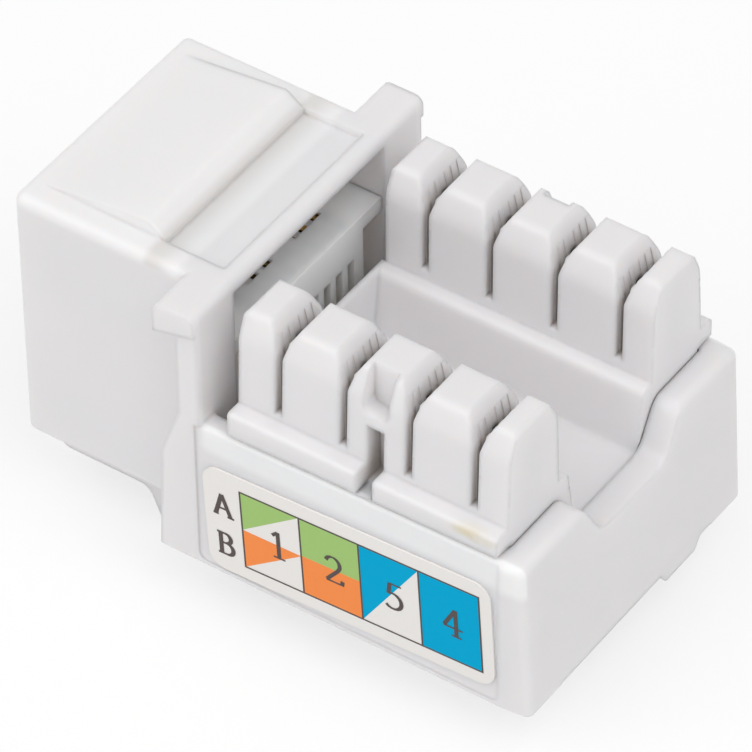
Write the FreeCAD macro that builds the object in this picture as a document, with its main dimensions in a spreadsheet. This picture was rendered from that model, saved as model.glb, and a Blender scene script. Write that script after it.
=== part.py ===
# Keystone jack: an unshielded 8-position socket with its wire terminals on top.
# Millimetres.  +Z up, the plug port faces -Y, and the wiring label is on the +X side.
# Each piece is drawn with the port face at y = 0, the underside of the tub at z = 0
# and the middle plane at x = 0; its Placement then moves it into the shared frame.
import FreeCAD, Part
import math
import os

import Sketcher

os.makedirs("parts", exist_ok=True)
doc = FreeCAD.newDocument("KeystoneJack")

SIZES = [
    # overall
    ("overall_length", 31.9, "port face to the foot of the rear wall"),
    ("tub_width", 19.16, "over the side walls"),
    ("ear_width", 19.58, "over the two ears"),
    ("top_height", 16.7, "top of the block, the flange and the terminal rows"),
    ("hook_drop", 3.4, "latch hook below the tub"),
    ("wall", 1.2, "side walls and floor of the tub"),
    ("seat_gap", 0.05, "slip clearance between pieces that fit together"),
    # socket block in front
    ("block_width", 14.5, ""),
    ("block_bottom", 0.73, ""),
    ("edge_round", 0.5, "moulded outside edges"),
    ("port_round", 0.4, "outer edges of the port face"),
    ("port_width", 11.9, "plug opening"),
    ("port_bottom", 4.9, ""),
    ("port_top", 11.7, ""),
    ("key_width", 6.5, "notch for the plug's latch, wide step"),
    ("key_bottom", 3.3, ""),
    ("tongue_width", 3.8, "notch for the plug's latch, narrow step"),
    ("tongue_bottom", 1.8, ""),
    ("plug_stop", 11.2, "front of the opening through the flange"),
    ("top_plate", 0.8, "thickness over the contact chamber"),
    ("chamber_width", 12.7, "hollow over the contact insert"),
    ("chamber_front", 2.6, ""),
    # flange and ears that stop against the panel
    ("flange_front", 10.2, "panel face of the ears"),
    ("flange_rear", 12.6, ""),
    ("ear_bottom_front", 14.9, ""),
    ("ear_bottom_rear", 15.5, ""),
    ("plate_edge", 11.4, "front edge of the side plates below the ears"),
    ("plate_knee", 9.9, "height where that edge starts to slant"),
    ("plate_foot", 10.27, "front edge at the lower end of the slant"),
    ("plate_foot_height", 6.8, ""),
    ("tub_front", 9.95, ""),
    ("window_width", 12.7, "opening through the flange"),
    # fixed catch on top and the groove behind it
    ("catch_width", 11.7, ""),
    ("catch_front", 0.9, ""),
    ("catch_rise", 0.75, ""),
    ("catch_crest", 7.15, ""),
    ("catch_foot", 8.15, ""),
    ("catch_round", 0.5, ""),
    ("groove_depth", 0.35, ""),
    ("groove_end", 11.7, ""),
    # flexible latch underneath
    ("latch_width", 10.8, ""),
    ("latch_top", -0.35, ""),
    ("latch_under", -1.43, ""),
    ("latch_root", 1.3, ""),
    ("hook_start", 6.1, ""),
    ("hook_front", 6.9, ""),
    ("hook_rear", 8.1, ""),
    ("tail_under", -2.45, ""),
    ("tail_top", -1.25, ""),
    ("tail_start", 9.0, ""),
    ("tail_end", 11.5, ""),
    # tub
    ("wall_top_front", 9.5, ""),
    ("wall_top_rear", 9.92, ""),
    ("rear_wall", 1.9, ""),
    ("rear_lean", 0.4, "the rear wall leans in toward its top"),
    ("corner_round", 0.45, "upright rear corners"),
    ("corner_taper", 0.16, "the side walls draw in before the rear corners"),
    ("taper_start", 0.15, "behind the front of the rear wall"),
    ("base_round", 0.3, "lower outside edges of the tub"),
    ("rim_round", 0.5, "upper rims of the tub"),
    ("inside_round", 0.3, "upright corners inside the tub"),
    ("dip_round", 1.2, ""),
    ("dip_half_top", 4.1, "dip in the rear wall for the cable"),
    ("dip_half_bottom", 2.8, ""),
    ("dip_bottom", 7.4, ""),
    ("foot_inner", 6.9, ""),
    ("foot_height", 0.3, ""),
    ("tab_near", -2.6, ""),
    ("tab_far", -5.2, ""),
    ("tab_drop", 0.4, ""),
    ("ledge_height", 3.0, "ledges that carry the circuit board"),
    ("ledge_width", 1.0, ""),
    # wiring label in its shallow recess
    ("recess_front", 12.3, ""),
    ("recess_rear", 0.1, "behind the front of the rear wall"),
    ("recess_bottom", 0.4, ""),
    ("recess_depth", 0.12, ""),
    ("recess_round", 0.5, ""),
    ("label_margin", 0.4, "the label is this much shorter than the recess at each end"),
    ("label_width", 6.7, ""),
    ("label_lift", 0.8, "the label is stuck on with its rear end this much higher"),
    ("label_place", 0.1, "middle of the label behind the middle of the recess"),
    ("label_middle", 4.19, "height of the middle of the label"),
    ("label_thickness", 0.1, ""),
    ("label_round", 1.0, ""),
    # terminal block
    ("rows_front", 14.2, ""),
    ("row_inset", 3.38, "middle of a row in from the side wall"),
    ("pillar_front", 2.34, "front of the rows to the first slot"),
    ("pillar_rear", 2.01, "last slot to the rear of the rows"),
    ("slot_half", 0.24, ""),
    ("slot_bottom", 11.45, ""),
    ("funnel_start", 15.1, ""),
    ("funnel_half", 0.82, "half width of the wire funnel at the top"),
    ("shelf_inset", 0.2, "shelf in from the side wall"),
    ("shelf_top", 11.15, ""),
    ("shelf_gap", 0.14, "joint line above the tub walls"),
    ("outer_low", 2.2, "outer side of a row from its middle"),
    ("outer_high", 2.0, ""),
    ("outer_top", 1.4, ""),
    ("inner_low", 2.12, "inner side of a row from its middle"),
    ("inner_high", 2.03, ""),
    ("inner_top", 1.3, ""),
    ("shoulder_height", 15.3, ""),
    ("step_top", 10.9, "step along the wire channel"),
    ("step_reach", 2.9, "edge of the step from the middle of the row"),
    ("step_round", 0.5, ""),
    ("channel_reach", 3.45, "foot of the channel wall from the middle of the row"),
    ("channel_floor", 7.2, ""),
    ("channel_end", 0.35, "thin wall that closes the channel in front"),
    ("channel_lip", 0.2, "that wall stands forward of the pillars"),
    ("channel_sweep", 1.0, "hollow curve from that wall down to the floor"),
    ("under_side", 5.2, ""),
    ("runner_width", 0.6, "runners that stand on the circuit board"),
    ("slit_width", 1.0, "slit in the middle pillars"),
    ("slit_top", 13.5, ""),
    ("scoop_width", 1.5, "hollow at the top of the middle pillars"),
    ("scoop_bottom", 14.2, ""),
    ("slit_depth", 1.0, ""),
    ("rib_width", 0.3, "grip ribs in the slots"),
    ("rib_pitch", 0.53, ""),
    ("rib_first", 0.42, ""),
    ("rib_proud", 0.06, ""),
    ("rib_top", 16.0, ""),
    # fork contacts of the terminals
    ("blade_thickness", 0.4, ""),
    ("blade_half", 1.2, ""),
    ("blade_top", 15.0, ""),
    ("fork_bottom", 11.8, ""),
    ("fork_gap", 0.3, ""),
    ("pin_half", 0.35, ""),
    ("pin_end", 2.0, ""),
    ("pin_hole", 1.0, "diameter in the board"),
    # circuit board
    ("board_thickness", 1.6, ""),
    ("board_front", 11.4, ""),
    ("board_shoulder", 12.9, ""),
    ("board_tongue", 12.3, ""),
    # contact insert and the spring contacts it holds
    ("insert_front", 2.7, ""),
    ("insert_rear", 12.45, ""),
    ("comb_front", 11.6, ""),
    ("comb_half", 4.65, ""),
    ("comb_slot_top", 10.25, ""),
    ("tray_thickness", 0.9, ""),
    ("slit_front", 9.4, "slits through the tray over the wires"),
    ("slit_rear", 10.65, ""),
    ("wire_pitch", 1.02, ""),
    ("wire_width", 0.4, ""),
    ("wire_thickness", 0.3, ""),
    ("wire_groove", 0.56, ""),
    ("wire_run", 12.0, "underside of the level run"),
    ("wire_leg", 11.7, "front of the upright leg"),
    ("wire_bend", 4.1, "inside of the front fold"),
    ("wire_tip", 9.3, ""),
    ("wire_tip_height", 8.85, ""),
    ("wire_pin_end", 2.2, ""),
    ("wire_jog", 1.2, "rearward step of every second leg"),
    ("wire_jog_height", 5.7, ""),
    ("wire_hole", 0.75, "diameter in the board"),
]

sheet = doc.addObject("Spreadsheet::Sheet", "Sizes")


class Size:
    """A length taken from the sheet: the expression for it and its present value."""

    def __init__(self, text, value):
        self.text = text
        self.value = value

    @staticmethod
    def of(other):
        return other if isinstance(other, Size) else Size(repr(float(other)), float(other))

    def __add__(self, other):
        other = Size.of(other)
        return Size("(%s + %s)" % (self.text, other.text), self.value + other.value)

    def __sub__(self, other):
        other = Size.of(other)
        return Size("(%s - %s)" % (self.text, other.text), self.value - other.value)

    def __mul__(self, other):
        other = Size.of(other)
        return Size("(%s * %s)" % (self.text, other.text), self.value * other.value)

    def __truediv__(self, other):
        other = Size.of(other)
        return Size("(%s / %s)" % (self.text, other.text), self.value / other.value)

    def __neg__(self):
        return Size("(0 - %s)" % self.text, -self.value)

    def __radd__(self, other):
        return Size.of(other) + self

    def __rsub__(self, other):
        return Size.of(other) - self

    __rmul__ = __mul__


class Sizes:
    """The named sizes, each as a Size that points at its cell of the sheet."""


for row, (alias, number, note) in enumerate(SIZES, start=1):
    sheet.set("A%d" % row, alias)
    sheet.set("B%d" % row, str(number))
    sheet.set("C%d" % row, note)
    sheet.setAlias("B%d" % row, alias)
    setattr(Sizes, alias, Size("Sizes." + alias, float(number)))
doc.recompute()

S = Sizes
mid_y = S.overall_length / 2
tub_half = S.tub_width / 2
ear_half = S.ear_width / 2
inner_half = tub_half - S.wall
inner_rear = S.overall_length - S.rear_wall
chamber_top = S.top_height - S.top_plate
board_top = S.ledge_height + S.board_thickness
recess_end = inner_rear + S.recess_rear
rows_rear = inner_rear - S.seat_gap
slot_first = S.rows_front + S.pillar_front
slot_pitch = (rows_rear - S.pillar_rear - slot_first) / 3
slot_ys = [slot_first + slot_pitch * number for number in range(4)]
row_centre = tub_half - S.row_inset
row_outer_high = row_centre + S.outer_high
shelf_half = tub_half - S.shelf_inset
step_half = row_centre - S.step_reach
channel_half = row_centre - S.channel_reach
wire_xs = [S.wire_pitch * (number - 3.5) for number in range(8)]


def bind(thing, prop, size):
    """Tie a property to the sheet."""
    thing.setExpression(prop, Size.of(size).text)


def make_body(label, x=0, y=0, z=0):
    """A body whose Placement carries it from its drawing position into the shared frame."""
    body = doc.addObject("PartDesign::Body", label)
    body.Label = label
    bind(body, "Placement.Base.x", Size.of(x))
    bind(body, "Placement.Base.y", y - mid_y)
    bind(body, "Placement.Base.z", z + S.hook_drop)
    return body


def draw_outline(sketch, corners):
    """Add a closed outline; a corner is (across, up) or (across, up, rounding)."""
    spots = [(Size.of(c[0]), Size.of(c[1]), Size.of(c[2]) if len(c) > 2 else None) for c in corners]
    count = len(spots)
    starts, ends, arcs = [], [], []
    for i, (across, up, rounding) in enumerate(spots):
        here = FreeCAD.Vector(across.value, up.value, 0)
        if rounding is None:
            starts.append(here)
            ends.append(here)
            arcs.append(None)
            continue
        before, after = spots[i - 1], spots[(i + 1) % count]
        back = (FreeCAD.Vector(before[0].value, before[1].value, 0) - here).normalize()
        ahead = (FreeCAD.Vector(after[0].value, after[1].value, 0) - here).normalize()
        angle = back.getAngle(ahead)
        reach = rounding.value / math.tan(angle / 2)
        bisector = (back + ahead).normalize()
        centre = here + bisector * (rounding.value / math.sin(angle / 2))
        ends.append(here + back * reach)
        starts.append(here + ahead * reach)
        arcs.append(centre)
    lines = []
    for i in range(count):
        line = Part.LineSegment(starts[i], ends[(i + 1) % count])
        lines.append(sketch.addGeometry(line, False))
    for i, (across, up, rounding) in enumerate(spots):
        into, out = lines[i - 1], lines[i]
        if rounding is None:
            sketch.addConstraint(Sketcher.Constraint("Coincident", into, 2, out, 1))
            pin_point(sketch, out, 1, across, up)
            continue
        first, last = (1, 2)
        spoke, next_spoke = ends[i] - arcs[i], starts[i] - arcs[i]
        if spoke.cross(next_spoke).z < 0:
            first, last = (2, 1)
            spoke, next_spoke = next_spoke, spoke
        from_angle = math.atan2(spoke.y, spoke.x)
        sweep = spoke.getAngle(next_spoke)
        circle = Part.Circle(arcs[i], FreeCAD.Vector(0, 0, 1), rounding.value)
        arc = sketch.addGeometry(Part.ArcOfCircle(circle, from_angle, from_angle + sweep), False)
        corner = sketch.addGeometry(Part.Point(FreeCAD.Vector(across.value, up.value, 0)), True)
        sketch.addConstraint(Sketcher.Constraint("Tangent", into, 2, arc, first))
        sketch.addConstraint(Sketcher.Constraint("Tangent", arc, last, out, 1))
        sketch.addConstraint(Sketcher.Constraint("PointOnObject", corner, 1, into))
        sketch.addConstraint(Sketcher.Constraint("PointOnObject", corner, 1, out))
        pin_point(sketch, corner, 1, across, up)
        radius = sketch.addConstraint(Sketcher.Constraint("Radius", arc, rounding.value))
        sketch.setExpression("Constraints[%d]" % radius, rounding.text)


def pin_point(sketch, item, end, across, up):
    """Fix a point of a sketch at a place given by two sizes."""
    for kind, size in (("DistanceX", across), ("DistanceY", up)):
        number = sketch.addConstraint(Sketcher.Constraint(kind, -1, 1, item, end, size.value))
        sketch.setExpression("Constraints[%d]" % number, size.text)


def place_sketch(body, name, plane, start):
    """An empty sketch parallel to one of the body's own planes, at the given distance from it."""
    sketch = body.newObject("Sketcher::SketchObject", name + "_sketch")
    role = plane + "_Plane"
    face = [part for part in body.Origin.OriginFeatures if part.Role == role][0]
    sketch.AttachmentSupport = [(face, "")]
    sketch.MapMode = "FlatFace"
    offset = -Size.of(start) if plane == "XZ" else Size.of(start)
    bind(sketch, "AttachmentOffset.Base.z", offset)
    doc.recompute()
    return sketch


def finish_prism(body, name, plane, sketch, length, remove):
    """Pad or pocket a sketch toward the positive side of its plane."""
    kind = "PartDesign::Pocket" if remove else "PartDesign::Pad"
    before = body.Shape.Volume if body.Tip else 0.0
    prism = body.newObject(kind, name)
    prism.Profile = sketch
    prism.Type = "Length"
    bind(prism, "Length", length)
    prism.Reversed = (plane == "XZ") != remove
    sketch.Visibility = False
    doc.recompute()
    change = body.Shape.Volume - before
    if (change >= 0) if remove else (change <= 0):
        raise ValueError("%s of %s changes nothing" % (name, body.Label))
    return prism


def prism(body, name, plane, start, end, outlines, remove=False):
    """Pad (or cut) closed outlines from start to end along the axis square to the plane."""
    sketch = place_sketch(body, name, plane, start)
    for outline in outlines:
        draw_outline(sketch, outline)
    doc.recompute()
    return finish_prism(body, name, plane, sketch, end - Size.of(start), remove)


def cut(body, name, plane, start, end, outlines):
    return prism(body, name, plane, start, end, outlines, remove=True)


def box_outline(left, right, bottom, top, rounding=None):
    corners = [(left, bottom), (right, bottom), (right, top), (left, top)]
    if rounding is None:
        return corners
    return [corner + (rounding,) for corner in corners]


def mirrored(outline):
    """The same outline on the other side of the middle plane."""
    return [(-Size.of(corner[0]),) + tuple(corner[1:]) for corner in reversed(outline)]


def both_sides(outline):
    return [outline, mirrored(outline)]


def round_edges(body, name, radius, wanted):
    """Fillet the edges whose middle point passes the test."""
    base = body.Tip
    chosen = []
    for number, edge in enumerate(base.Shape.Edges, start=1):
        middle = edge.valueAt((edge.FirstParameter + edge.LastParameter) / 2)
        if wanted(edge, middle):
            chosen.append("Edge%d" % number)
    if not chosen:
        raise ValueError("%s of %s finds no edge" % (name, body.Label))
    fillet = body.newObject("PartDesign::Fillet", name)
    fillet.Base = (base, chosen)
    bind(fillet, "Radius", radius)
    doc.recompute()
    return fillet


def repeat(body, name, feature, axis, step, count):
    """Repeat one feature along an axis of the body."""
    pattern = body.newObject("PartDesign::LinearPattern", name)
    pattern.Originals = [feature]
    role = axis + "_Axis"
    line = [part for part in body.Origin.OriginFeatures if part.Role == role][0]
    pattern.Direction = (line, [""])
    bind(pattern, "Length", step * (count - 1))
    pattern.Occurrences = count
    body.Tip = pattern
    doc.recompute()
    return pattern


def near(value, size, slack=0.02):
    return abs(value - Size.of(size).value) < slack


def drill(body, name, start, end, centres, diameter):
    """Round holes along Z at the given places."""
    sketch = place_sketch(body, name, "XY", start)
    for across, along in centres:
        across, along = Size.of(across), Size.of(along)
        centre = FreeCAD.Vector(across.value, along.value, 0)
        up = FreeCAD.Vector(0, 0, 1)
        ring = sketch.addGeometry(Part.Circle(centre, up, diameter.value / 2), False)
        pin_point(sketch, ring, 3, across, along)
        radius = sketch.addConstraint(Sketcher.Constraint("Radius", ring, diameter.value / 2))
        sketch.setExpression("Constraints[%d]" % radius, (diameter / 2).text)
    doc.recompute()
    return finish_prism(body, name, "XY", sketch, end - Size.of(start), True)


# ---------------------------------------------------------------------------
# jack_housing: socket block, catch, latch, flange, ears and tub in one moulding
housing = make_body("jack_housing")
prism(housing, "tub", "YZ", -tub_half, tub_half, [[
    (S.tub_front, 0),
    (S.overall_length, 0),
    (S.overall_length - S.rear_lean, S.wall_top_rear),
    (S.flange_rear, S.wall_top_front),
    (S.flange_rear, S.ear_bottom_rear),
    (S.plate_edge, S.ear_bottom_rear),
    (S.plate_edge, S.plate_knee),
    (S.plate_foot, S.plate_foot_height),
]])
cut(housing, "corner_tapers", "XY", -0.1, S.wall_top_rear + 0.2, both_sides([
    (tub_half, inner_rear + S.taper_start),
    (tub_half + 0.4, inner_rear + S.taper_start),
    (tub_half + 0.4, S.overall_length),
    (tub_half - S.corner_taper, S.overall_length),
]))
round_edges(housing, "rear_corners", S.corner_round, lambda edge, spot: (
    near(abs(spot.x), tub_half, 0.3) and near(spot.y, S.overall_length - S.rear_lean / 2, 0.1)))
round_edges(housing, "rims", S.rim_round, lambda edge, spot: (
    spot.y > S.flange_rear.value + 0.1 and spot.z > S.wall_top_front.value - 0.1))
round_edges(housing, "base_edges", S.base_round, lambda edge, spot: (
    spot.y > S.tub_front.value + 0.1 and near(spot.z, 0)))
prism(housing, "block", "XZ", 0, S.plate_edge, [
    box_outline(-S.block_width / 2, S.block_width / 2, S.block_bottom, S.top_height, S.edge_round)])
round_edges(housing, "port_edges", S.port_round, lambda edge, spot: near(spot.y, 0))
prism(housing, "ears", "YZ", -ear_half, ear_half, [[
    (S.flange_front, S.ear_bottom_front),
    (S.flange_rear, S.ear_bottom_rear),
    (S.flange_rear, S.top_height, S.edge_round),
    (S.flange_front, S.top_height, S.edge_round),
]])
prism(housing, "catch", "YZ", -S.catch_width / 2, S.catch_width / 2, [[
    (S.catch_front, S.top_height - S.edge_round),
    (S.catch_foot, S.top_height - S.edge_round),
    (S.catch_foot, S.top_height),
    (S.catch_crest, S.top_height + S.catch_rise, S.catch_round),
    (S.catch_front, S.top_height),
]])
cut(housing, "panel_groove", "XY", S.top_height - S.groove_depth, S.top_height + 1, [
    box_outline(-S.catch_width / 2, S.catch_width / 2, S.catch_foot, S.groove_end)])
prism(housing, "latch", "YZ", -S.latch_width / 2, S.latch_width / 2, [[
    (0.4, S.block_bottom + 0.5),
    (0.4, S.latch_under, 0.9),
    (S.hook_start, S.latch_under, 0.8),
    (S.hook_front, -S.hook_drop, 0.4),
    (S.hook_rear, -S.hook_drop),
    (S.hook_rear, S.tail_under),
    (S.tail_end, S.tail_under, 0.4),
    (S.tail_end, S.tail_top, 0.4),
    (S.tail_start, S.tail_top),
    (S.hook_rear - 0.5, S.latch_top),
    (S.latch_root, S.latch_top, 0.4),
    (S.latch_root, S.block_bottom + 0.5),
]])
cut(housing, "tub_hollow", "XY", S.wall, S.top_height - 1, [
    box_outline(-inner_half, inner_half, S.flange_rear, inner_rear, S.inside_round)])
cut(housing, "flange_window", "XZ", S.plug_stop, S.flange_rear + 0.5, [
    box_outline(-S.window_width / 2, S.window_width / 2, S.wall, chamber_top, 0.3)])
cut(housing, "plug_cavity", "XZ", -0.1, S.flange_rear, [[
    (-S.port_width / 2, S.port_bottom),
    (-S.key_width / 2, S.port_bottom),
    (-S.key_width / 2, S.key_bottom),
    (-S.tongue_width / 2, S.key_bottom),
    (-S.tongue_width / 2, S.tongue_bottom),
    (S.tongue_width / 2, S.tongue_bottom),
    (S.tongue_width / 2, S.key_bottom),
    (S.key_width / 2, S.key_bottom),
    (S.key_width / 2, S.port_bottom),
    (S.port_width / 2, S.port_bottom),
    (S.port_width / 2, S.port_top),
    (-S.port_width / 2, S.port_top),
]])
cut(housing, "contact_chamber", "XZ", S.chamber_front, S.flange_rear, [
    box_outline(-S.chamber_width / 2, S.chamber_width / 2, S.port_top, chamber_top)])
cut(housing, "relief", "XZ", 2.0, S.flange_rear, both_sides(
    box_outline(S.key_width / 2 + 0.95, S.block_width / 2 - 0.95,
                S.block_bottom + 1, S.port_bottom - 0.9)))
cut(housing, "cable_dip", "XZ", inner_rear - 0.2, S.overall_length + 0.2, [[
    (-S.dip_half_bottom, S.dip_bottom, S.dip_round),
    (S.dip_half_bottom, S.dip_bottom, S.dip_round),
    (S.dip_half_top, S.wall_top_rear - 0.2, S.dip_round),
    (S.dip_half_top + 1.3, S.wall_top_rear + 0.3),
    (-S.dip_half_top - 1.3, S.wall_top_rear + 0.3),
    (-S.dip_half_top, S.wall_top_rear - 0.2, S.dip_round),
]])
cut(housing, "foot_recess", "XZ", S.tub_front + 3, S.overall_length + 0.2, [[
    (-S.foot_inner, -0.01),
    (S.foot_inner, -0.01),
    (S.foot_inner - 0.3, S.foot_height),
    (0.3 - S.foot_inner, S.foot_height),
]])
prism(housing, "rear_tab", "XZ", S.overall_length - 1.2, S.overall_length - 0.02, [[
    (S.tab_far, -S.tab_drop, 0.25),
    (S.tab_near, -S.tab_drop, 0.25),
    (S.tab_near + 0.8, S.foot_height + 0.4),
    (S.tab_far - 0.8, S.foot_height + 0.4),
]])
cut(housing, "label_recess", "YZ", tub_half - S.recess_depth, tub_half + 0.3, [[
    (S.recess_front, S.recess_bottom, S.recess_round),
    (recess_end, S.recess_bottom, S.recess_round),
    (recess_end, S.wall_top_rear + 0.4),
    (S.flange_rear, S.wall_top_rear + 0.4),
    (S.flange_rear, S.wall_top_front),
    (S.recess_front, S.wall_top_front),
]])
prism(housing, "board_ledges", "XY", S.wall - 0.1, S.ledge_height, both_sides(
    box_outline(inner_half - S.ledge_width, inner_half + 0.1,
                S.board_shoulder + 0.4, inner_rear + 0.1)))

# ---------------------------------------------------------------------------
# terminal_block: shelf, wire channel and both rows of slotted pillars in one moulding
block = make_body("terminal_block")
half = [
    (inner_half - S.seat_gap, S.under_side),
    (inner_half - S.seat_gap, S.wall_top_front),
    (shelf_half, S.wall_top_front),
    (shelf_half, S.shelf_top, 0.2),
    (row_centre + S.outer_low, S.shelf_top),
    (row_outer_high, S.shoulder_height, 2.0),
    (row_centre + S.outer_top, S.top_height, 0.5),
    (row_centre - S.inner_top, S.top_height, 0.5),
    (row_centre - S.inner_high, S.shoulder_height, 2.0),
    (row_centre - S.inner_low, S.step_top),
    (step_half, S.step_top, S.step_round),
    (channel_half, S.channel_floor, 0.3),
]
prism(block, "profile", "XZ", S.rows_front, rows_rear, [half + mirrored(half)])
end_half = row_centre - S.inner_low
end_front = S.rows_front - S.channel_lip
end_back = end_front + S.channel_end
prism(block, "channel_end", "YZ", -end_half, end_half, [[
    (end_front, S.channel_floor - 0.3),
    (end_back + S.channel_sweep + 0.4, S.channel_floor - 0.3),
    (end_back + S.channel_sweep + 0.3, S.channel_floor),
    (end_back, S.channel_floor, S.channel_sweep),
    (end_back, S.step_top),
    (end_front, S.step_top),
]])
# the shelf rests over the sloping rims of the tub with a narrow joint line
rim_fall = (S.wall_top_rear - S.wall_top_front) / (S.overall_length - S.rear_lean - S.flange_rear)
rim_front = S.wall_top_front + rim_fall * (S.rows_front - 0.2 - S.flange_rear) + S.shelf_gap
rim_rear = S.wall_top_front + rim_fall * (rows_rear + 0.2 - S.flange_rear) + S.shelf_gap
shelf_under = [
    (S.rows_front - 0.2, S.wall_top_front - 0.2),
    (rows_rear + 0.2, S.wall_top_front - 0.2),
    (rows_rear + 0.2, rim_rear),
    (S.rows_front - 0.2, rim_front),
]
skirt = inner_half - S.seat_gap
cut(block, "shelf_under_near", "YZ", skirt, shelf_half + 0.2, [shelf_under])
cut(block, "shelf_under_far", "YZ", -shelf_half - 0.2, -skirt, [shelf_under])
round_edges(block, "skirt_corners", S.inside_round, lambda edge, spot: (
    near(abs(spot.x), skirt) and near(spot.y, rows_rear)))
# the rounded front and rear top edges of the end pillars
cut(block, "end_bevels", "YZ", -shelf_half - 1, shelf_half + 1, [
    [(S.rows_front - 0.1, S.top_height - 0.35), (S.rows_front + 0.35, S.top_height + 0.1),
     (S.rows_front - 0.1, S.top_height + 0.1)],
    [(rows_rear + 0.1, S.top_height - 0.35), (rows_rear + 0.1, S.top_height + 0.1),
     (rows_rear - 0.35, S.top_height + 0.1)],
])
slot = cut(block, "slot", "YZ", -shelf_half - 1, shelf_half + 1, [[
    (slot_first - S.slot_half, S.slot_bottom),
    (slot_first + S.slot_half, S.slot_bottom),
    (slot_first + S.slot_half, S.funnel_start, 1.0),
    (slot_first + S.slot_half + 0.25, S.top_height - 0.6, 1.2),
    (slot_first + S.funnel_half, S.top_height),
    (slot_first + S.funnel_half + 0.1, S.top_height + 0.2),
    (slot_first - S.funnel_half - 0.1, S.top_height + 0.2),
    (slot_first - S.funnel_half, S.top_height),
    (slot_first - S.slot_half - 0.25, S.top_height - 0.6, 1.2),
    (slot_first - S.slot_half, S.funnel_start, 1.0),
]])
repeat(block, "slots", slot, "Y", slot_pitch, 4)
middle = (slot_ys[1] + slot_ys[2]) / 2
slit_floor = row_outer_high - S.slit_depth
for name, start, end in (("near", slit_floor, shelf_half + 0.2), ("far", -shelf_half - 0.2, -slit_floor)):
    cut(block, "slit_" + name, "YZ", start, end, [
        box_outline(middle - S.slit_width / 2, middle + S.slit_width / 2, S.wall_top_rear, S.slit_top)])
    cut(block, "scoop_" + name, "YZ", start, end, [[
        (middle - S.scoop_width / 2, S.scoop_bottom, 0.5),
        (middle + S.scoop_width / 2, S.scoop_bottom, 0.5),
        (middle + S.scoop_width / 2, S.top_height + 0.3),
        (middle - S.scoop_width / 2, S.top_height + 0.3),
    ]])
ribs = []
for number in range(3):
    for side in (-1, 1):
        across = row_centre + side * (S.rib_first + S.rib_pitch * number)
        for edge in (-1, 1):
            inner = slot_first + edge * (S.slot_half - S.rib_proud)
            outer = slot_first + edge * (S.slot_half + 0.5)
            low, high = (outer, inner) if edge < 0 else (inner, outer)
            ribs.append(box_outline(across - S.rib_width / 2, across + S.rib_width / 2, low, high))
rib = prism(block, "rib", "XY", S.slot_bottom - 0.1, S.rib_top, ribs + [mirrored(one) for one in ribs])
repeat(block, "ribs", rib, "Y", slot_pitch, 4)
rib_slope = cut(block, "rib_slope", "YZ", -shelf_half - 1, shelf_half + 1, [[
    (slot_first - S.slot_half + S.rib_proud, S.funnel_start - 0.2),
    (slot_first + S.slot_half - S.rib_proud, S.funnel_start - 0.2),
    (slot_first + S.slot_half + 0.16, S.rib_top + 0.05),
    (slot_first - S.slot_half - 0.16, S.rib_top + 0.05),
]])
repeat(block, "rib_slopes", rib_slope, "Y", slot_pitch, 4)
pocket_x = S.blade_thickness / 2 + S.seat_gap
pocket_y = S.blade_half + S.seat_gap
blade_pocket = cut(block, "blade_pocket", "XY", S.under_side - 0.1, S.blade_top + S.seat_gap, both_sides(
    box_outline(row_centre - pocket_x, row_centre + pocket_x,
                slot_first - pocket_y, slot_first + pocket_y)))
repeat(block, "blade_pockets", blade_pocket, "Y", slot_pitch, 4)
prism(block, "runners", "XY", board_top, S.under_side + 0.1, both_sides(
    box_outline(inner_half - 0.3 - S.runner_width, inner_half - 0.3,
                S.rows_front + 0.4, rows_rear - 0.4)))

# ---------------------------------------------------------------------------
# circuit_board: carries every contact, one edge of holes for each kind
board = make_body("circuit_board")
board_half = inner_half - 0.2
board_rear = inner_rear - 0.2
prism(board, "blank", "XY", S.ledge_height, board_top, [[
    (-S.board_tongue / 2, S.board_front),
    (S.board_tongue / 2, S.board_front),
    (S.board_tongue / 2, S.board_shoulder),
    (board_half, S.board_shoulder),
    (board_half, board_rear),
    (-board_half, board_rear),
    (-board_half, S.board_shoulder),
    (-S.board_tongue / 2, S.board_shoulder),
]])
leg_y = S.wire_leg + S.wire_thickness / 2
drill(board, "pin_holes", S.ledge_height - 0.1, board_top + 0.1,
      [(side * row_centre, along) for side in (1, -1) for along in slot_ys], S.pin_hole)
drill(board, "wire_holes", S.ledge_height - 0.1, board_top + 0.1,
      [(across, leg_y + (S.wire_jog if number % 2 else 0)) for number, across in enumerate(wire_xs)],
      S.wire_hole)

# ---------------------------------------------------------------------------
# contact_insert: tray and comb that guide the spring contacts
insert = make_body("contact_insert")
tray_half = S.chamber_width / 2 - S.seat_gap
tray_top = S.port_top + S.tray_thickness
prism(insert, "tray", "XY", S.port_top, tray_top, [
    box_outline(-tray_half, tray_half, S.insert_front, S.insert_rear)])
prism(insert, "comb", "XY", board_top, S.port_top + 0.1, [
    box_outline(-S.comb_half, S.comb_half, S.comb_front, S.insert_rear)])
groove = cut(insert, "groove", "YZ", wire_xs[0] - S.wire_groove / 2, wire_xs[0] + S.wire_groove / 2, [[
    (S.insert_front + 0.3, S.port_top - 0.1),
    (S.comb_front - 0.1, S.port_top - 0.1),
    (S.comb_front - 0.1, board_top - 0.1),
    (S.insert_rear + 0.1, board_top - 0.1),
    (S.insert_rear + 0.1, S.comb_slot_top),
    (S.wire_leg + S.wire_thickness + 0.1, S.comb_slot_top),
    (S.wire_leg + S.wire_thickness + 0.1, S.wire_run + S.wire_thickness + 0.1),
    (S.insert_front + 0.3, S.wire_run + S.wire_thickness + 0.1),
]])
repeat(insert, "grooves", groove, "X", S.wire_pitch, 8)
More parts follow.
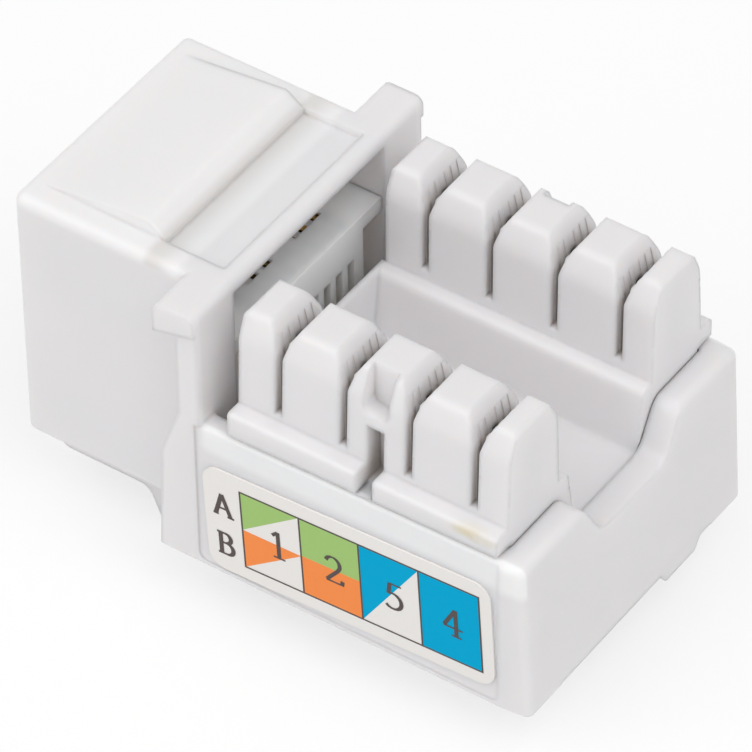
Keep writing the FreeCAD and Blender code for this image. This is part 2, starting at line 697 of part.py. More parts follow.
cut(insert, "tray_slits", "XY", S.port_top + 0.5, tray_top + 0.1, [
    box_outline(left, right, S.slit_front, S.slit_rear)
    for left, right in ((1.65, 2.6), (0.5, 1.3), (-3.65, -1.4))])

# ---------------------------------------------------------------------------
# plug_contact: spring wires folded back into the plug cavity
fall = (S.wire_run - S.wire_tip_height) / (S.wire_tip - S.wire_bend)
for number, across in enumerate(wire_xs):
    wire = make_body("plug_contact_%d" % (number + 1), x=across)
    leg_front = S.wire_leg
    leg_back = S.wire_leg + S.wire_thickness
    if number % 2:
        lower = [
            (leg_front + S.wire_jog, S.wire_pin_end),
            (leg_front + S.wire_jog, S.wire_jog_height),
            (leg_front, S.wire_jog_height),
        ]
        upper = [
            (leg_back, S.wire_jog_height + S.wire_thickness),
            (leg_back + S.wire_jog, S.wire_jog_height + S.wire_thickness),
            (leg_back + S.wire_jog, S.wire_pin_end),
        ]
    else:
        lower = [(leg_front, S.wire_pin_end)]
        upper = [(leg_back, S.wire_pin_end)]
    arm_drop = S.wire_thickness * 1.17
    prism(wire, "strip", "YZ", -S.wire_width / 2, S.wire_width / 2, [lower + [
        (leg_front, S.wire_run),
        (S.wire_bend, S.wire_run),
        (S.wire_tip, S.wire_tip_height),
        (S.wire_tip, S.wire_tip_height - arm_drop),
        (S.wire_bend - (S.wire_thickness + arm_drop) / fall, S.wire_run + S.wire_thickness),
        (leg_back, S.wire_run + S.wire_thickness),
    ] + upper])

# ---------------------------------------------------------------------------
# terminal_contact: forked blades that cut into the wires
number = 0
for side in (1, -1):
    for along in slot_ys:
        number += 1
        fork = make_body("terminal_contact_%d" % number, x=side * row_centre, y=along)
        prism(fork, "blade", "YZ", -S.blade_thickness / 2, S.blade_thickness / 2, [[
            (-S.pin_half, S.pin_end),
            (S.pin_half, S.pin_end),
            (S.pin_half, board_top),
            (S.blade_half, board_top),
            (S.blade_half, S.blade_top - 0.5),
            (S.blade_half - 0.4, S.blade_top),
            (S.fork_gap * 2, S.blade_top),
            (S.fork_gap / 2, S.blade_top - 0.9),
            (S.fork_gap / 2, S.fork_bottom),
            (-S.fork_gap / 2, S.fork_bottom),
            (-S.fork_gap / 2, S.blade_top - 0.9),
            (-S.fork_gap * 2, S.blade_top),
            (0.4 - S.blade_half, S.blade_top),
            (-S.blade_half, S.blade_top - 0.5),
            (-S.blade_half, board_top),
            (-S.pin_half, board_top),
        ]])

# ---------------------------------------------------------------------------
# wiring_label: thin printed sticker in the recess of the near wall
label_y = (S.recess_front + recess_end) / 2 + S.label_place
label = make_body("wiring_label", x=tub_half - S.recess_depth, y=label_y, z=S.label_middle)
label_length = recess_end - S.recess_front - S.label_margin * 2
slope = S.label_lift / label_length
corners = []
for end, edge in ((-0.5, -0.5), (0.5, -0.5), (0.5, 0.5), (-0.5, 0.5)):
    along, up = label_length * end, S.label_width * edge
    corners.append((along - up * slope, along * slope + up, S.label_round))
prism(label, "sticker", "YZ", 0, S.label_thickness, [corners])

# ---------------------------------------------------------------------------
doc.recompute()
for thing in doc.Objects:
    if "Invalid" in thing.State or "Error" in thing.State:
        raise ValueError("%s is not sound" % thing.Name)
for thing in doc.Objects:
    if thing.TypeId != "PartDesign::Body":
        continue
    shape = thing.Shape
    if shape.isNull() or not shape.isValid() or len(shape.Solids) != 1:
        raise ValueError("%s is not one sound solid" % thing.Label)
    shape.exportStep("parts/%s.step" % thing.Label)
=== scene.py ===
import math

import bpy
import numpy as np
from mathutils import Matrix, Vector


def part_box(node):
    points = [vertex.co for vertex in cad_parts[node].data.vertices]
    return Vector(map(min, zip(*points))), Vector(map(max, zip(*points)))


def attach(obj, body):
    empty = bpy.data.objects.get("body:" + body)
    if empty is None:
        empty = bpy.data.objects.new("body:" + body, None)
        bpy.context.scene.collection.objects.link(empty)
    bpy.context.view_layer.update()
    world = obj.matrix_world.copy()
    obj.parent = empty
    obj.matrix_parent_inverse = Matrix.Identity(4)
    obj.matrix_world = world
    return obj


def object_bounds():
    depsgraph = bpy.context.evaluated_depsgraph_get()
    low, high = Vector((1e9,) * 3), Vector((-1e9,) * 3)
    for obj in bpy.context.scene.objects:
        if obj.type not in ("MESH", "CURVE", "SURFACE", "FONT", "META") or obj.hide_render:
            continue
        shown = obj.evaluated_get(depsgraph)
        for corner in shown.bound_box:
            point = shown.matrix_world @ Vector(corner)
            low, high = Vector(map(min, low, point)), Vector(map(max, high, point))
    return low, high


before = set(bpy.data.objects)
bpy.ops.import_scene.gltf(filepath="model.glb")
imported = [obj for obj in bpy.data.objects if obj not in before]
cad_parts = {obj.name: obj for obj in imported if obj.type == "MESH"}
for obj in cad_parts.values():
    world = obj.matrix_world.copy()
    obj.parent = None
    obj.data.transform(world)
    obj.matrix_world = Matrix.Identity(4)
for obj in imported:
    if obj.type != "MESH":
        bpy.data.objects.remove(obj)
cad_box = [list(corner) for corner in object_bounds()]

MM = 0.001

# The object's own planes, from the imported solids.
TUB_LOW = np.array(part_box("jack_housing")[0])
ROWS_LOW, ROWS_HIGH = (np.array(corner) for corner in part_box("terminal_block"))
STICKER_LOW, STICKER_HIGH = (np.array(corner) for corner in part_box("wiring_label"))
STICKER_FACE = STICKER_HIGH[0]
STICKER_CENTRE = (STICKER_LOW + STICKER_HIGH) / 2


def tone(red, green, blue):
    """A display colour, 0 to 255 a channel, as the linear colour a shader takes."""
    channels = np.array((red, green, blue)) / 255
    linear = np.where(channels > 0.04045, ((channels + 0.055) / 1.055) ** 2.4, channels / 12.92)
    return (*linear.tolist(), 1.0)


# ---------------------------------------------------------------------------
# Node trees


def put(tree, kind, sockets=None, **settings):
    """Add a node; sockets maps an input's name or number to a value or to another node's output."""
    node = tree.nodes.new(kind)
    for name, value in settings.items():
        setattr(node, name, value)
    for key, value in (sockets or {}).items():
        if isinstance(value, bpy.types.NodeSocket):
            tree.links.new(value, node.inputs[key])
        else:
            node.inputs[key].default_value = value
    return node


def calc(tree, operation, *terms):
    """One Math node on up to three terms."""
    return put(tree, "ShaderNodeMath", dict(enumerate(terms)), operation=operation).outputs[0]


def vector_calc(tree, operation, sockets, result=0):
    """One Vector Math node."""
    return put(tree, "ShaderNodeVectorMath", sockets, operation=operation).outputs[result]


def object_place(tree):
    """The place of a surface point in the object's own axes."""
    return put(tree, "ShaderNodeTexCoord").outputs["Object"]


def split(tree, vector):
    """The X, Y and Z of a vector."""
    return put(tree, "ShaderNodeSeparateXYZ", {0: vector}).outputs


def openness(tree, reach):
    """1 on an open surface, falling towards 0 where walls stand close within the reach."""
    return put(tree, "ShaderNodeAmbientOcclusion", {"Distance": reach}, samples=8).outputs["AO"]


def bump(tree, **sockets):
    """The normal over a height."""
    return put(tree, "ShaderNodeBump", sockets).outputs[0]


def blend(tree, share, first, second):
    """A colour that goes from first at share 0 to second at share 1."""
    node = put(tree, "ShaderNodeMix", {0: share, 6: first, 7: second}, data_type="RGBA")
    return node.outputs[2]


def spread(tree, value, low, high, new_low=0.0, new_high=1.0):
    """Map a value from low..high to new_low..new_high, smoothly and without going past the ends."""
    node = put(tree, "ShaderNodeMapRange", {0: value, 1: low, 2: high, 3: new_low, 4: new_high},
               interpolation_type="SMOOTHSTEP")
    return node.outputs[0]


def noise(tree, place, size, detail=2.0, roughness=0.5):
    """Noise whose blotches are about this size across, in metres."""
    node = put(tree, "ShaderNodeTexNoise", {"Vector": place, "Scale": 1 / size, "Detail": detail,
                                            "Roughness": roughness})
    return node.outputs["Fac"]


def new_group(name, inputs, outputs):
    """An empty node group with its sockets: the tree, its input node's outputs and its output node."""
    tree = bpy.data.node_groups.new(name, "ShaderNodeTree")
    kinds = {"value": "NodeSocketFloat", "colour": "NodeSocketColor", "vector": "NodeSocketVector"}
    for label, (kind, default) in inputs.items():
        socket = tree.interface.new_socket(label, in_out="INPUT", socket_type=kinds[kind])
        socket.default_value = default
    for label, kind in outputs.items():
        tree.interface.new_socket(label, in_out="OUTPUT", socket_type=kinds[kind])
    source = tree.nodes.new("NodeGroupInput")
    sink = tree.nodes.new("NodeGroupOutput")
    return tree, source.outputs, sink


def finish_group(tree, sink, results):
    """Lead the results to the group's output node."""
    for label, socket in results.items():
        tree.links.new(socket, sink.inputs[label])
    return tree


def moulded_skin_group():
    """Satin moulded plastic: a fine spark-eroded grain, faint flow shading, softened edges,
    slightly smoother edges where fingers rub, and a warm painted shade deep in slots and close corners."""
    tree, given, sink = new_group("moulded_skin", {
        "Colour": ("colour", (0.8, 0.8, 0.8, 1)),
        "Deep Colour": ("colour", (0.3, 0.25, 0.2, 1)),
        "Gloss": ("value", 0.42),
        "Edge Radius": ("value", 0.00015),
        "Depth Reach": ("value", 0.002),
    }, {"Colour": "colour", "Roughness": "value", "Normal": "vector"})
    place = object_place(tree)
    soft_edge = put(tree, "ShaderNodeBevel", {"Radius": given["Edge Radius"]}, samples=8).outputs[0]
    face = put(tree, "ShaderNodeNewGeometry").outputs["Normal"]
    along = vector_calc(tree, "DOT_PRODUCT", {0: soft_edge, 1: face}, "Value")
    edge = spread(tree, along, 0.995, 0.9)
    flow = noise(tree, place, 7 * MM, detail=3)
    smudge = noise(tree, place, 2.2 * MM, detail=4)
    grain = noise(tree, place, 0.09 * MM, detail=2)
    open_sky = openness(tree, given["Depth Reach"])
    # Painted shade: where walls stand close, the colour goes towards the Deep Colour.
    deep = spread(tree, open_sky, 0.28, 0.03)
    lit = calc(tree, "MULTIPLY_ADD", flow, 0.03, 0.985)
    shaded = vector_calc(tree, "SCALE", {0: given["Colour"], "Scale": lit})
    with_painted_shade = blend(tree, calc(tree, "MULTIPLY", deep, 0.85), shaded, given["Deep Colour"])
    rough = calc(tree, "ADD", given["Gloss"], spread(tree, smudge, 0.35, 0.7, -0.05, 0.07))
    rough = calc(tree, "SUBTRACT", rough, calc(tree, "MULTIPLY", edge, 0.06))
    bumped = bump(tree, Strength=0.12, Distance=0.01 * MM, Height=grain, Normal=soft_edge)
    return finish_group(tree, sink, {"Colour": with_painted_shade, "Roughness": rough, "Normal": bumped})


def plated_metal_group():
    """Drawn and plated metal: fine lines along the strip, cloudy tarnish, and a painted shade deep in
    slots.
    """
    tree, given, sink = new_group("plated_metal", {
        "Bright": ("colour", (0.8, 0.6, 0.3, 1)),
        "Tarnish": ("colour", (0.4, 0.25, 0.12, 1)),
        "Gloss": ("value", 0.25),
        "Depth Reach": ("value", 0.004),
    }, {"Colour": "colour", "Roughness": "value", "Normal": "vector"})
    place = object_place(tree)
    open_sky = openness(tree, given["Depth Reach"])
    stretched = put(tree, "ShaderNodeMapping",
                    {"Vector": place, "Scale": (14000, 400, 900)}).outputs[0]
    lines = put(tree, "ShaderNodeTexNoise",
                {"Vector": stretched, "Scale": 1.0, "Detail": 2.0}).outputs["Fac"]
    clouds = noise(tree, place, 0.7 * MM, detail=4, roughness=0.6)
    dull = spread(tree, clouds, 0.45, 0.75)
    plated = blend(tree, dull, given["Bright"], given["Tarnish"])
    # Painted shade: the plating darkens where walls stand close.
    metal_painted_shade = spread(tree, open_sky, 0.1, 0.75, 0.08, 1.0)
    colour = vector_calc(tree, "SCALE", {0: plated, "Scale": metal_painted_shade})
    rough = calc(tree, "MULTIPLY_ADD", dull, 0.22, given["Gloss"])
    normal = bump(tree, Strength=0.15, Distance=0.005 * MM, Height=lines)
    return finish_group(tree, sink, {"Colour": colour, "Roughness": rough, "Normal": normal})


def printed_film_group():
    """Printed paper film: faint fibres in the tone and a very slight waviness of the surface."""
    tree, given, sink = new_group("printed_film", {
        "Colour": ("colour", (0.8, 0.8, 0.8, 1)),
        "Speckle": ("value", 0.05),
        "Gloss": ("value", 0.5),
    }, {"Colour": "colour", "Roughness": "value", "Normal": "vector"})
    place = object_place(tree)
    dots = noise(tree, place, 0.07 * MM, detail=2)
    clouds = noise(tree, place, 1.2 * MM, detail=3)
    uneven = calc(tree, "ADD", calc(tree, "SUBTRACT", dots, 0.5),
                  calc(tree, "MULTIPLY", calc(tree, "SUBTRACT", clouds, 0.5), 0.6))
    level = calc(tree, "MULTIPLY_ADD", uneven, given["Speckle"], 1.0)
    colour = vector_calc(tree, "SCALE", {0: given["Colour"], "Scale": level})
    rough = calc(tree, "MULTIPLY_ADD", clouds, 0.1, given["Gloss"])
    wave = noise(tree, place, 2.5 * MM, detail=1)
    height = calc(tree, "MULTIPLY_ADD", wave, 6.0, dots)
    normal = bump(tree, Strength=0.2, Distance=0.004 * MM, Height=height)
    return finish_group(tree, sink, {"Colour": colour, "Roughness": rough, "Normal": normal})


def new_material(name):
    """An empty material with its Principled shader and output."""
    material = bpy.data.materials.new(name)
    material.use_nodes = True
    tree = material.node_tree
    tree.nodes.clear()
    shader = put(tree, "ShaderNodeBsdfPrincipled")
    put(tree, "ShaderNodeOutputMaterial", {"Surface": shader.outputs[0]})
    return material, tree, shader


def use_group(tree, shader, group, **values):
    """Place a shared effect in a material and lead its results to the shader."""
    node = put(tree, "ShaderNodeGroup", node_tree=group)
    for name, value in values.items():
        socket = node.inputs[name.replace("_", " ").title()]
        if isinstance(value, bpy.types.NodeSocket):
            tree.links.new(value, socket)
        else:
            socket.default_value = value
    for result, entry in (("Colour", "Base Color"), ("Roughness", "Roughness"), ("Normal", "Normal")):
        tree.links.new(node.outputs[result], shader.inputs[entry])


SKIN = moulded_skin_group()
PLATE = plated_metal_group()
FILM = printed_film_group()

WHITE = tone(236, 234, 235)
# Paler white of the painted highlight along the rounded rims of the side walls.
RIM_PAINTED_HIGHLIGHT = tone(252, 251, 251)
# Paler white of the painted light on the top in front of the flange.
TOP_PAINTED_LIGHT = tone(245, 243, 243)
# Darker white of the painted shadow that the catch casts just behind its foot.
CATCH_PAINTED_SHADOW = tone(228, 225, 223)
STAIN = tone(222, 211, 180)
# White of the insert with painted light, paler than the other mouldings.
INSERT_WHITE_PAINTED_LIGHT = tone(253, 251, 248)
# Paler colour of the insert's painted shade in its slots.
INSERT_PAINTED_SHADE = tone(236, 230, 222)
# Warm colour of the painted shade deep in slots and close corners.
SLOT_PAINTED_SHADE = tone(150, 138, 124)

SOFT_EDGE = 0.4 * MM
INSERT_EDGE = 0.08 * MM
DEPTH_REACH = 2.5 * MM
LIGHT_REACH = 1.2 * MM

# The rear foot of the fixed catch, and the level of the top in front of the flange.
FOOT_Y = TUB_LOW[1] + 8.15 * MM
TOP_Z = ROWS_HIGH[2]

# The stain's middle and its reach along each axis.
STAIN_CENTRE = (ROWS_HIGH[0], ROWS_HIGH[1] - 1.4 * MM, ROWS_LOW[2] + 6.2 * MM)
STAIN_RADII = (1.0 * MM, 1.9 * MM, 0.55 * MM)


def spot(tree, place, centre, radii):
    """1 inside an ellipsoid about the centre, falling smoothly to 0 at its edge."""
    offset = vector_calc(tree, "SUBTRACT", {0: place, 1: tuple(centre)})
    scaled = vector_calc(tree, "DIVIDE", {0: offset, 1: tuple(radii)})
    reach = vector_calc(tree, "LENGTH", {0: scaled}, "Value")
    return spread(tree, reach, 1.0, 0.2)


def let_light_through(shader):
    """Light travels about a millimetre inside the white plastic, so thin walls glow and edges soften."""
    shader.inputs["IOR"].default_value = 1.5
    shader.inputs["Subsurface Weight"].default_value = 0.6
    shader.inputs["Subsurface Radius"].default_value = (1.0, 0.85, 0.75)
    shader.inputs["Subsurface Scale"].default_value = LIGHT_REACH


def housing_plastic():
    """White moulding of the housing. Its colour is set by place: a painted highlight along the rims of
    the side walls, painted light on top in front of the flange, and a painted shadow of the catch at its
    foot."""
    material, tree, shader = new_material("housing_plastic")
    place = object_place(tree)
    parts = split(tree, place)
    out = calc(tree, "ABSOLUTE", parts[0])
    on_side = spread(tree, out, STICKER_FACE - 0.5 * MM, STICKER_FACE - 0.3 * MM)
    behind = spread(tree, parts[1], STICKER_LOW[1] - 0.3 * MM, STICKER_LOW[1] + 0.3 * MM)
    rising = spread(tree, parts[2], STICKER_HIGH[2] - 0.2 * MM, STICKER_HIGH[2] + 0.6 * MM)
    # Painted highlight along the rounded rim of each side wall, above and behind the sticker.
    rim_highlight = calc(tree, "MULTIPLY", calc(tree, "MULTIPLY", on_side, behind), rising)
    colour = blend(tree, rim_highlight, WHITE, RIM_PAINTED_HIGHLIGHT)
    # Painted light on the top in front of the flange.
    front_top = calc(tree, "MULTIPLY", spread(tree, parts[2], TOP_Z - 0.9 * MM, TOP_Z - 0.4 * MM),
                     spread(tree, parts[1], FOOT_Y + 2.0 * MM, FOOT_Y + 1.5 * MM))
    colour = blend(tree, front_top, colour, TOP_PAINTED_LIGHT)
    # Painted shadow of the catch, on the top just behind its foot.
    foot = calc(tree, "MULTIPLY", spread(tree, parts[1], FOOT_Y - 0.5 * MM, FOOT_Y),
                spread(tree, parts[1], FOOT_Y + 1.5 * MM, FOOT_Y + 0.2 * MM))
    colour = blend(tree, calc(tree, "MULTIPLY", foot, front_top), colour, CATCH_PAINTED_SHADOW)
    use_group(tree, shader, SKIN, colour=colour, deep_colour=SLOT_PAINTED_SHADE, gloss=0.40,
              edge_radius=SOFT_EDGE, depth_reach=DEPTH_REACH)
    let_light_through(shader)
    return material


def terminal_plastic():
    """White moulding of the terminal block, with one pale yellow stain on the near shelf."""
    material, tree, shader = new_material("terminal_plastic")
    place = object_place(tree)
    blotches = spread(tree, noise(tree, place, 0.8 * MM), 0.3, 0.6, 0.3, 0.8)
    patchy = calc(tree, "MULTIPLY", spot(tree, place, STAIN_CENTRE, STAIN_RADII), blotches)
    colour = blend(tree, patchy, WHITE, STAIN)
    use_group(tree, shader, SKIN, colour=colour, deep_colour=SLOT_PAINTED_SHADE, gloss=0.36,
              edge_radius=SOFT_EDGE, depth_reach=DEPTH_REACH)
    let_light_through(shader)
    return material


def insert_plastic():
    """Moulding of the contact insert, painted paler than its neighbours: painted light where it sits in
    the shade, and a paler painted shade in its slots.
    """
    material, tree, shader = new_material("insert_plastic")
    use_group(tree, shader, SKIN, colour=INSERT_WHITE_PAINTED_LIGHT, deep_colour=INSERT_PAINTED_SHADE, gloss=0.45,
              edge_radius=INSERT_EDGE, depth_reach=DEPTH_REACH)
    let_light_through(shader)
    return material


def label_film():
    """Off-white paper film of the sticker."""
    material, tree, shader = new_material("label_film")
    use_group(tree, shader, FILM, colour=tone(242, 239, 235), speckle=0.03, gloss=0.5)
    return material


def ink(name, colour, speckle):
    """One printing ink on the film."""
    material, tree, shader = new_material(name)
    use_group(tree, shader, FILM, colour=colour, speckle=speckle, gloss=0.6)
    shader.inputs["Specular IOR Level"].default_value = 0.05
    return material


def metal(name, bright, tarnish, gloss):
    """One plated metal of the contacts."""
    material, tree, shader = new_material(name)
    use_group(tree, shader, PLATE, bright=bright, tarnish=tarnish, gloss=gloss)
    shader.inputs["Metallic"].default_value = 1.0
    return material


def board_laminate():
    """Green solder resist over copper tracks on the faces, bare glass laminate at the edges."""
    material, tree, shader = new_material("board_laminate")
    place = object_place(tree)
    parts = split(tree, place)
    facing = split(tree, put(tree, "ShaderNodeNewGeometry").outputs["Normal"])[2]
    flat = spread(tree, calc(tree, "ABSOLUTE", facing), 0.4, 0.6)
    bend = noise(tree, place, 3 * MM, detail=1)
    lane = calc(tree, "MULTIPLY_ADD", bend, 1.5 * MM, parts[0])
    stripe = calc(tree, "PINGPONG", lane, 0.5 * MM)
    track = spread(tree, stripe, 0.30 * MM, 0.34 * MM)
    resist = blend(tree, track, tone(38, 94, 52), tone(70, 128, 66))
    weave = calc(tree, "SINE", calc(tree, "MULTIPLY", parts[2], 2 * math.pi / (0.2 * MM)))
    laminate = blend(tree, spread(tree, weave, -1, 1), tone(176, 164, 116), tone(206, 196, 150))
    colour = blend(tree, flat, laminate, resist)
    tree.links.new(colour, shader.inputs["Base Color"])
    tree.links.new(spread(tree, flat, 0, 1, 0.6, 0.3), shader.inputs["Roughness"])
    normal = bump(tree, Strength=0.4, Distance=0.03 * MM, Height=track)
    tree.links.new(normal, shader.inputs["Normal"])
    return material


def dress(node, material):
    """Give a carried-over solid its finish."""
    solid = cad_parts[node]
    solid.data.materials.clear()
    solid.data.materials.append(material)


dress("jack_housing", housing_plastic())
dress("terminal_block", terminal_plastic())
dress("contact_insert", insert_plastic())
dress("circuit_board", board_laminate())
dress("wiring_label", label_film())
gold = metal("gold_plating", tone(232, 196, 120), tone(190, 150, 84), 0.2)
bronze = metal("phosphor_bronze", tone(196, 150, 108), tone(120, 82, 56), 0.3)
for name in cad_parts:
    if name.startswith("plug_contact"):
        dress(name, gold)
    if name.startswith("terminal_contact"):
        dress(name, bronze)

# ---------------------------------------------------------------------------
# The print on the wiring label. Places are (along, up) in metres from the middle of the
# colour grid, turned by the small angle at which the sticker was put on.

PRINT_TURN = 0.047
GRID_MIDDLE = (STICKER_CENTRE[1] + 0.77 * MM, STICKER_CENTRE[2])
CELL_WIDTH = 3.525 * MM
CELL_HEIGHT = 5.0 * MM
CELL_COUNT = 4
INK_STEP = 0.005 * MM
RIBBON_STEP = 0.0005 * MM
RULE_WIDTH = 0.1 * MM


def on_sticker(flat_points, lift):
    """Flat (along, up) points as places on the sticker's face: turned, moved, and lifted off it."""
    flat_points = np.asarray(flat_points, float)
    cosine, sine = math.cos(PRINT_TURN), math.sin(PRINT_TURN)
    along = flat_points[:, 0] * cosine - flat_points[:, 1] * sine + GRID_MIDDLE[0]
    up = flat_points[:, 0] * sine + flat_points[:, 1] * cosine + GRID_MIDDLE[1]
    return np.column_stack((np.full(len(along), STICKER_FACE + lift), along, up))


def add_piece(name, points, faces, material):
    """A new object at the origin, carried by the root body."""
    mesh = bpy.data.meshes.new(name)
    mesh.from_pydata(points.tolist(), [], faces)
    mesh.materials.append(material)
    mesh.validate()
    piece = bpy.data.objects.new(name, mesh)
    bpy.context.collection.objects.link(piece)
    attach(piece, "root")
    return piece


def cell_spots(cell, shares):
    """Corners given as shares of one cell, from its lower front corner, as flat points."""
    shares = np.asarray(shares, float)
    start = np.array(((cell - CELL_COUNT / 2) * CELL_WIDTH, -CELL_HEIGHT / 2))
    return start + shares * (CELL_WIDTH, CELL_HEIGHT)


def colour_field(name, patches, material):
    """Flat patches of one ink: each is a convex outline in one cell."""
    outlines = [cell_spots(cell, shares) for cell, shares in patches]
    starts = np.cumsum([0] + [len(outline) for outline in outlines])
    faces = [list(range(starts[i], starts[i + 1])) for i in range(len(outlines))]
    return add_piece(name, on_sticker(np.vstack(outlines), INK_STEP), faces, material)


LEFT_HALF_UP = [(0, 0.5), (1, 1), (0, 1)]
POINTED = [(0, 0), (1, 0.49), (0, 0.5)]
UPPER_HALF = [(0, 0.5), (1, 0.5), (1, 1), (0, 1)]
LOWER_HALF = [(0, 0), (1, 0), (1, 0.5), (0, 0.5)]
DIAGONAL_HALF = [(0, 0), (1, 1), (0, 1)]
WHOLE = [(0, 0), (1, 0), (1, 1), (0, 1)]
GREEN = ink("green_ink", tone(168, 204, 124), 0.10)
ORANGE = ink("orange_ink", tone(255, 150, 84), 0.08)
BLUE = ink("blue_ink", tone(0, 172, 218), 0.08)
DARK = ink("dark_ink", tone(98, 90, 88), 0.10)
colour_field("label_green", [(0, LEFT_HALF_UP), (1, UPPER_HALF)], GREEN)
colour_field("label_orange", [(0, POINTED), (1, LOWER_HALF)], ORANGE)
colour_field("label_blue", [(2, DIAGONAL_HALF), (3, WHOLE)], BLUE)


def pen_stroke(path, thin, thick):
    """A ribbon along a path, as a broad pen draws it: its width goes from thin where the path
    runs level to thick where it runs upright. Each point is moved half the width to each side."""
    path = np.asarray(path, float)
    heading = np.gradient(path, axis=0)
    heading /= np.linalg.norm(heading, axis=1, keepdims=True)
    side = np.column_stack((-heading[:, 1], heading[:, 0]))
    half = (thin + (thick - thin) * np.abs(heading[:, 1:2])) / 2
    ribbon = np.vstack((path + side * half, path - side * half))
    count = len(path)
    faces = [[i, i + count, i + count + 1, i + 1] for i in range(count - 1)]
    return ribbon, faces


def line(start, end):
    """A straight stroke."""
    return np.linspace(start, end, 2)


def arc(centre, radii, from_degrees, to_degrees, count=14):
    """Part of an ellipse: the centre plus the radii times the cosine and sine of the angle."""
    angles = np.radians(np.linspace(from_degrees, to_degrees, count))
    return np.column_stack((centre[0] + radii[0] * np.cos(angles),
                            centre[1] + radii[1] * np.sin(angles)))


# Strokes in a box one unit high, and the middle of that box.
GLYPH_MIDDLE = (0.33, 0.5)
GLYPHS = {
    "1": [line((0.14, 0.80), (0.32, 0.96)), line((0.33, 0.98), (0.33, 0.03)),
          line((0.14, 0.02), (0.53, 0.02))],
    "2": [np.vstack((arc((0.30, 0.72), (0.23, 0.25), 165, -30), line((0.44, 0.50), (0.07, 0.07)))),
          line((0.05, 0.05), (0.56, 0.05)), line((0.56, 0.03), (0.60, 0.20))],
    "5": [line((0.16, 0.95), (0.56, 0.95)), line((0.18, 0.95), (0.13, 0.55)),
          arc((0.25, 0.32), (0.29, 0.29), 115, -140)],
    "4": [line((0.42, 0.98), (0.04, 0.33)), line((0.02, 0.31), (0.64, 0.31)),
          line((0.43, 1.00), (0.43, 0.02)), line((0.27, 0.02), (0.59, 0.02))],
    "A": [line((0.04, 0.02), (0.34, 0.98)), line((0.34, 0.98), (0.66, 0.02)),
          line((0.15, 0.34), (0.55, 0.34)), line((-0.06, 0.02), (0.16, 0.02)),
          line((0.52, 0.02), (0.80, 0.02))],
    "B": [line((0.16, 0.0), (0.16, 1.0)), line((0.02, 0.02), (0.40, 0.02)),
          line((0.02, 0.98), (0.36, 0.98)), arc((0.36, 0.76), (0.22, 0.22), 90, -90),
          line((0.16, 0.53), (0.38, 0.53)),
          arc((0.40, 0.275), (0.25, 0.255), 90, -90)],
}


def letter_ribbons(letter, middle, height, thin, thick):
    """The strokes of one letter or digit, centred on a flat place."""
    return [pen_stroke((path - GLYPH_MIDDLE) * height + np.asarray(middle), thin, thick)
            for path in GLYPHS[letter]]


def grid_ribbons():
    """The thin rules round the cells."""
    half_width, half_height = CELL_COUNT * CELL_WIDTH / 2, CELL_HEIGHT / 2
    overhang = RULE_WIDTH / 2
    rules = [line((-half_width - overhang, level), (half_width + overhang, level))
             for level in (-half_height, half_height)]
    rules += [line((place, -half_height), (place, half_height))
              for place in (i * CELL_WIDTH - half_width for i in range(CELL_COUNT + 1))]
    return [pen_stroke(rule, RULE_WIDTH, RULE_WIDTH) for rule in rules]


def ink_piece(name, ribbons, lift):
    """All the ribbons of one print as one mesh; each lies a hair over the one before it."""
    points, faces, start = [], [], 0
    for number, (ribbon, quads) in enumerate(ribbons):
        points.append(on_sticker(ribbon, lift + number * RIBBON_STEP))
        faces += [[corner + start for corner in quad] for quad in quads]
        start += len(ribbon)
    return add_piece(name, np.vstack(points), faces, DARK)


# Heights and pen widths, how far each digit sits past the middle of its cell, and the letters' places.
DIGIT_HEIGHT = 1.8 * MM
DIGIT_PEN = (0.10 * MM, 0.24 * MM)
DIGITS = {"1": 0.4 * MM, "2": 0.2 * MM, "5": 0.27 * MM, "4": 0.15 * MM}
LETTER_HEIGHT = 1.45 * MM
LETTER_PEN = (0.12 * MM, 0.26 * MM)
LETTERS = {"A": (-8.2 * MM, 1.1 * MM), "B": (-8.2 * MM, -1.51 * MM)}

ink_piece("label_rules", grid_ribbons(), 2 * INK_STEP)
digits, letters = [], []
for cell, (digit, shift) in enumerate(DIGITS.items()):
    middle = ((cell + 0.5 - CELL_COUNT / 2) * CELL_WIDTH + shift, 0)
    digits += letter_ribbons(digit, middle, DIGIT_HEIGHT, *DIGIT_PEN)
ink_piece("label_digits", digits, 3 * INK_STEP)
for letter, middle in LETTERS.items():
    letters += letter_ribbons(letter, middle, LETTER_HEIGHT, *LETTER_PEN)
ink_piece("label_letters", letters, 3 * INK_STEP)

# ---------------------------------------------------------------------------
# Floor, light and camera

FLOOR_SIZE = 3.0
FLOOR_TONE = 0.90
SEEN_TONE = 0.38
SEEN_GLOW = 0.64
WORLD_LEVEL = 0.53
CAMERA_BEARING = 125.54
CAMERA_HEIGHT = 43.54
CAMERA_ROLL = 0.019
CAMERA_PLACE = (0.210856, 0.151072, 0.257066)
CAMERA_LENS = 347.1
CAMERA_SENSOR = 36


def white_to_eye(tree):
    """1 for a ray that reaches the eye straight, by a reflection or through glass."""
    path = put(tree, "ShaderNodeLightPath").outputs
    seen = calc(tree, "MAXIMUM", path["Is Camera Ray"], path["Is Glossy Ray"])
    return calc(tree, "MAXIMUM", seen, path["Is Transmission Ray"])


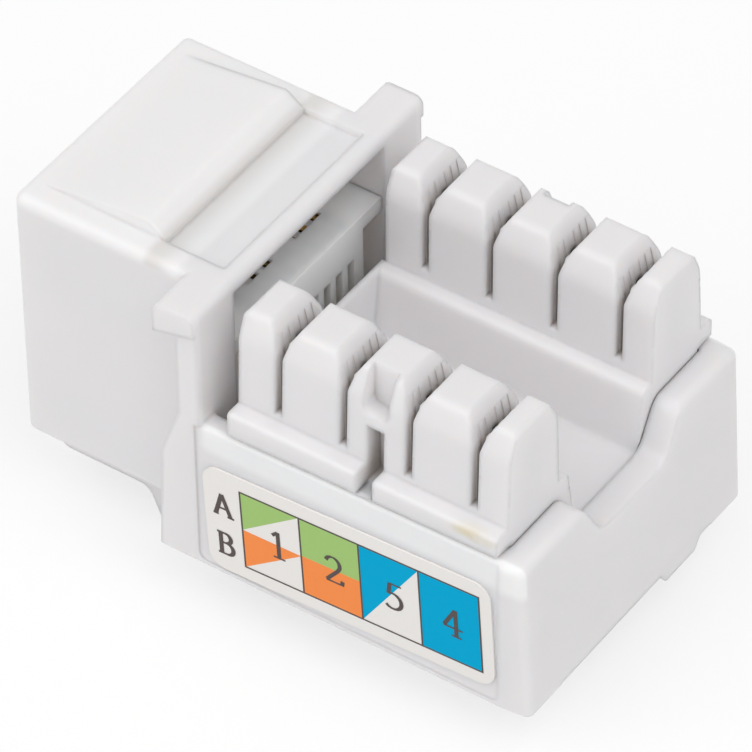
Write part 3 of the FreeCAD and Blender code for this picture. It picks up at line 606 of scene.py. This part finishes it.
def make_floor():
    """A wide pale floor that looks white where it is fully lit. Its glow, which only the eye gets,
    leaves a faint shadow."""
    half = FLOOR_SIZE / 2
    corners = [(-half, -half, 0), (half, -half, 0), (half, half, 0), (-half, half, 0)]
    mesh = bpy.data.meshes.new("floor")
    mesh.from_pydata(corners, [], [(0, 1, 2, 3)])
    material = bpy.data.materials.new("floor_white")
    material.use_nodes = True
    tree = material.node_tree
    tree.nodes.clear()
    seen = white_to_eye(tree)
    pale = blend(tree, seen, (*[FLOOR_TONE] * 3, 1), (*[SEEN_TONE] * 3, 1))
    surface = put(tree, "ShaderNodeBsdfDiffuse", {"Color": pale})
    glow = put(tree, "ShaderNodeEmission", {"Strength": calc(tree, "MULTIPLY", seen, SEEN_GLOW)})
    both = put(tree, "ShaderNodeAddShader", {0: surface.outputs[0], 1: glow.outputs[0]})
    put(tree, "ShaderNodeOutputMaterial", {"Surface": both.outputs[0]})
    mesh.materials.append(material)
    floor = bpy.data.objects.new("floor", mesh)
    bpy.context.collection.objects.link(floor)
    floor.location.z = cad_box[0][2]


def make_world(level):
    """Even white surroundings, plain white where they are seen."""
    world = bpy.data.worlds.new("surroundings")
    world.use_nodes = True
    tree = world.node_tree
    tree.nodes.clear()
    seen = white_to_eye(tree)
    strength = calc(tree, "MULTIPLY_ADD", seen, 1.0 - level, level)
    back = put(tree, "ShaderNodeBackground", {"Color": (1, 1, 1, 1), "Strength": strength})
    put(tree, "ShaderNodeOutputWorld", {"Surface": back.outputs[0]})
    bpy.context.scene.world = world


def towards(bearing, height):
    """The unit vector out to a bearing and a height in degrees: sine of the bearing times cosine of
    the height, minus cosine of the bearing times cosine of the height, sine of the height."""
    turn, rise = math.radians(bearing), math.radians(height)
    return Vector((math.sin(turn) * math.cos(rise), -math.cos(turn) * math.cos(rise),
                   math.sin(rise)))


def softbox(name, bearing, height, level, size, distance=0.9):
    """A square lamp aimed at the object. Bearing 0 is over the front, 90 over the label side.
    Level is the share of full white that it alone gives to a surface that faces it."""
    back = towards(bearing, height)
    data = bpy.data.lights.new(name, "AREA")
    data.size = size
    data.energy = level * math.pi ** 2 * distance ** 2
    lamp = bpy.data.objects.new(name, data)
    bpy.context.collection.objects.link(lamp)
    lamp.location = back * distance
    lamp.rotation_euler = (-back).to_track_quat("-Z", "Y").to_euler()


def make_camera():
    """A long lens looking down on the terminals from behind, on the label side."""
    view = -towards(CAMERA_BEARING, CAMERA_HEIGHT)
    data = bpy.data.cameras.new("camera")
    data.sensor_width = CAMERA_SENSOR
    data.lens = CAMERA_LENS
    camera = bpy.data.objects.new("camera", data)
    bpy.context.collection.objects.link(camera)
    aim = view.to_track_quat("-Z", "Y").to_matrix().to_4x4()
    turn = aim @ Matrix.Rotation(-CAMERA_ROLL, 4, "Z")
    camera.matrix_world = Matrix.Translation(CAMERA_PLACE) @ turn
    bpy.context.scene.camera = camera


make_floor()
make_world(WORLD_LEVEL)
softbox("key_softbox", 62, 45, 0.25, 0.7)
softbox("rear_softbox", 155, 58, 0.32, 0.6)
make_camera()

bpy.context.scene.view_settings.view_transform = "Standard"
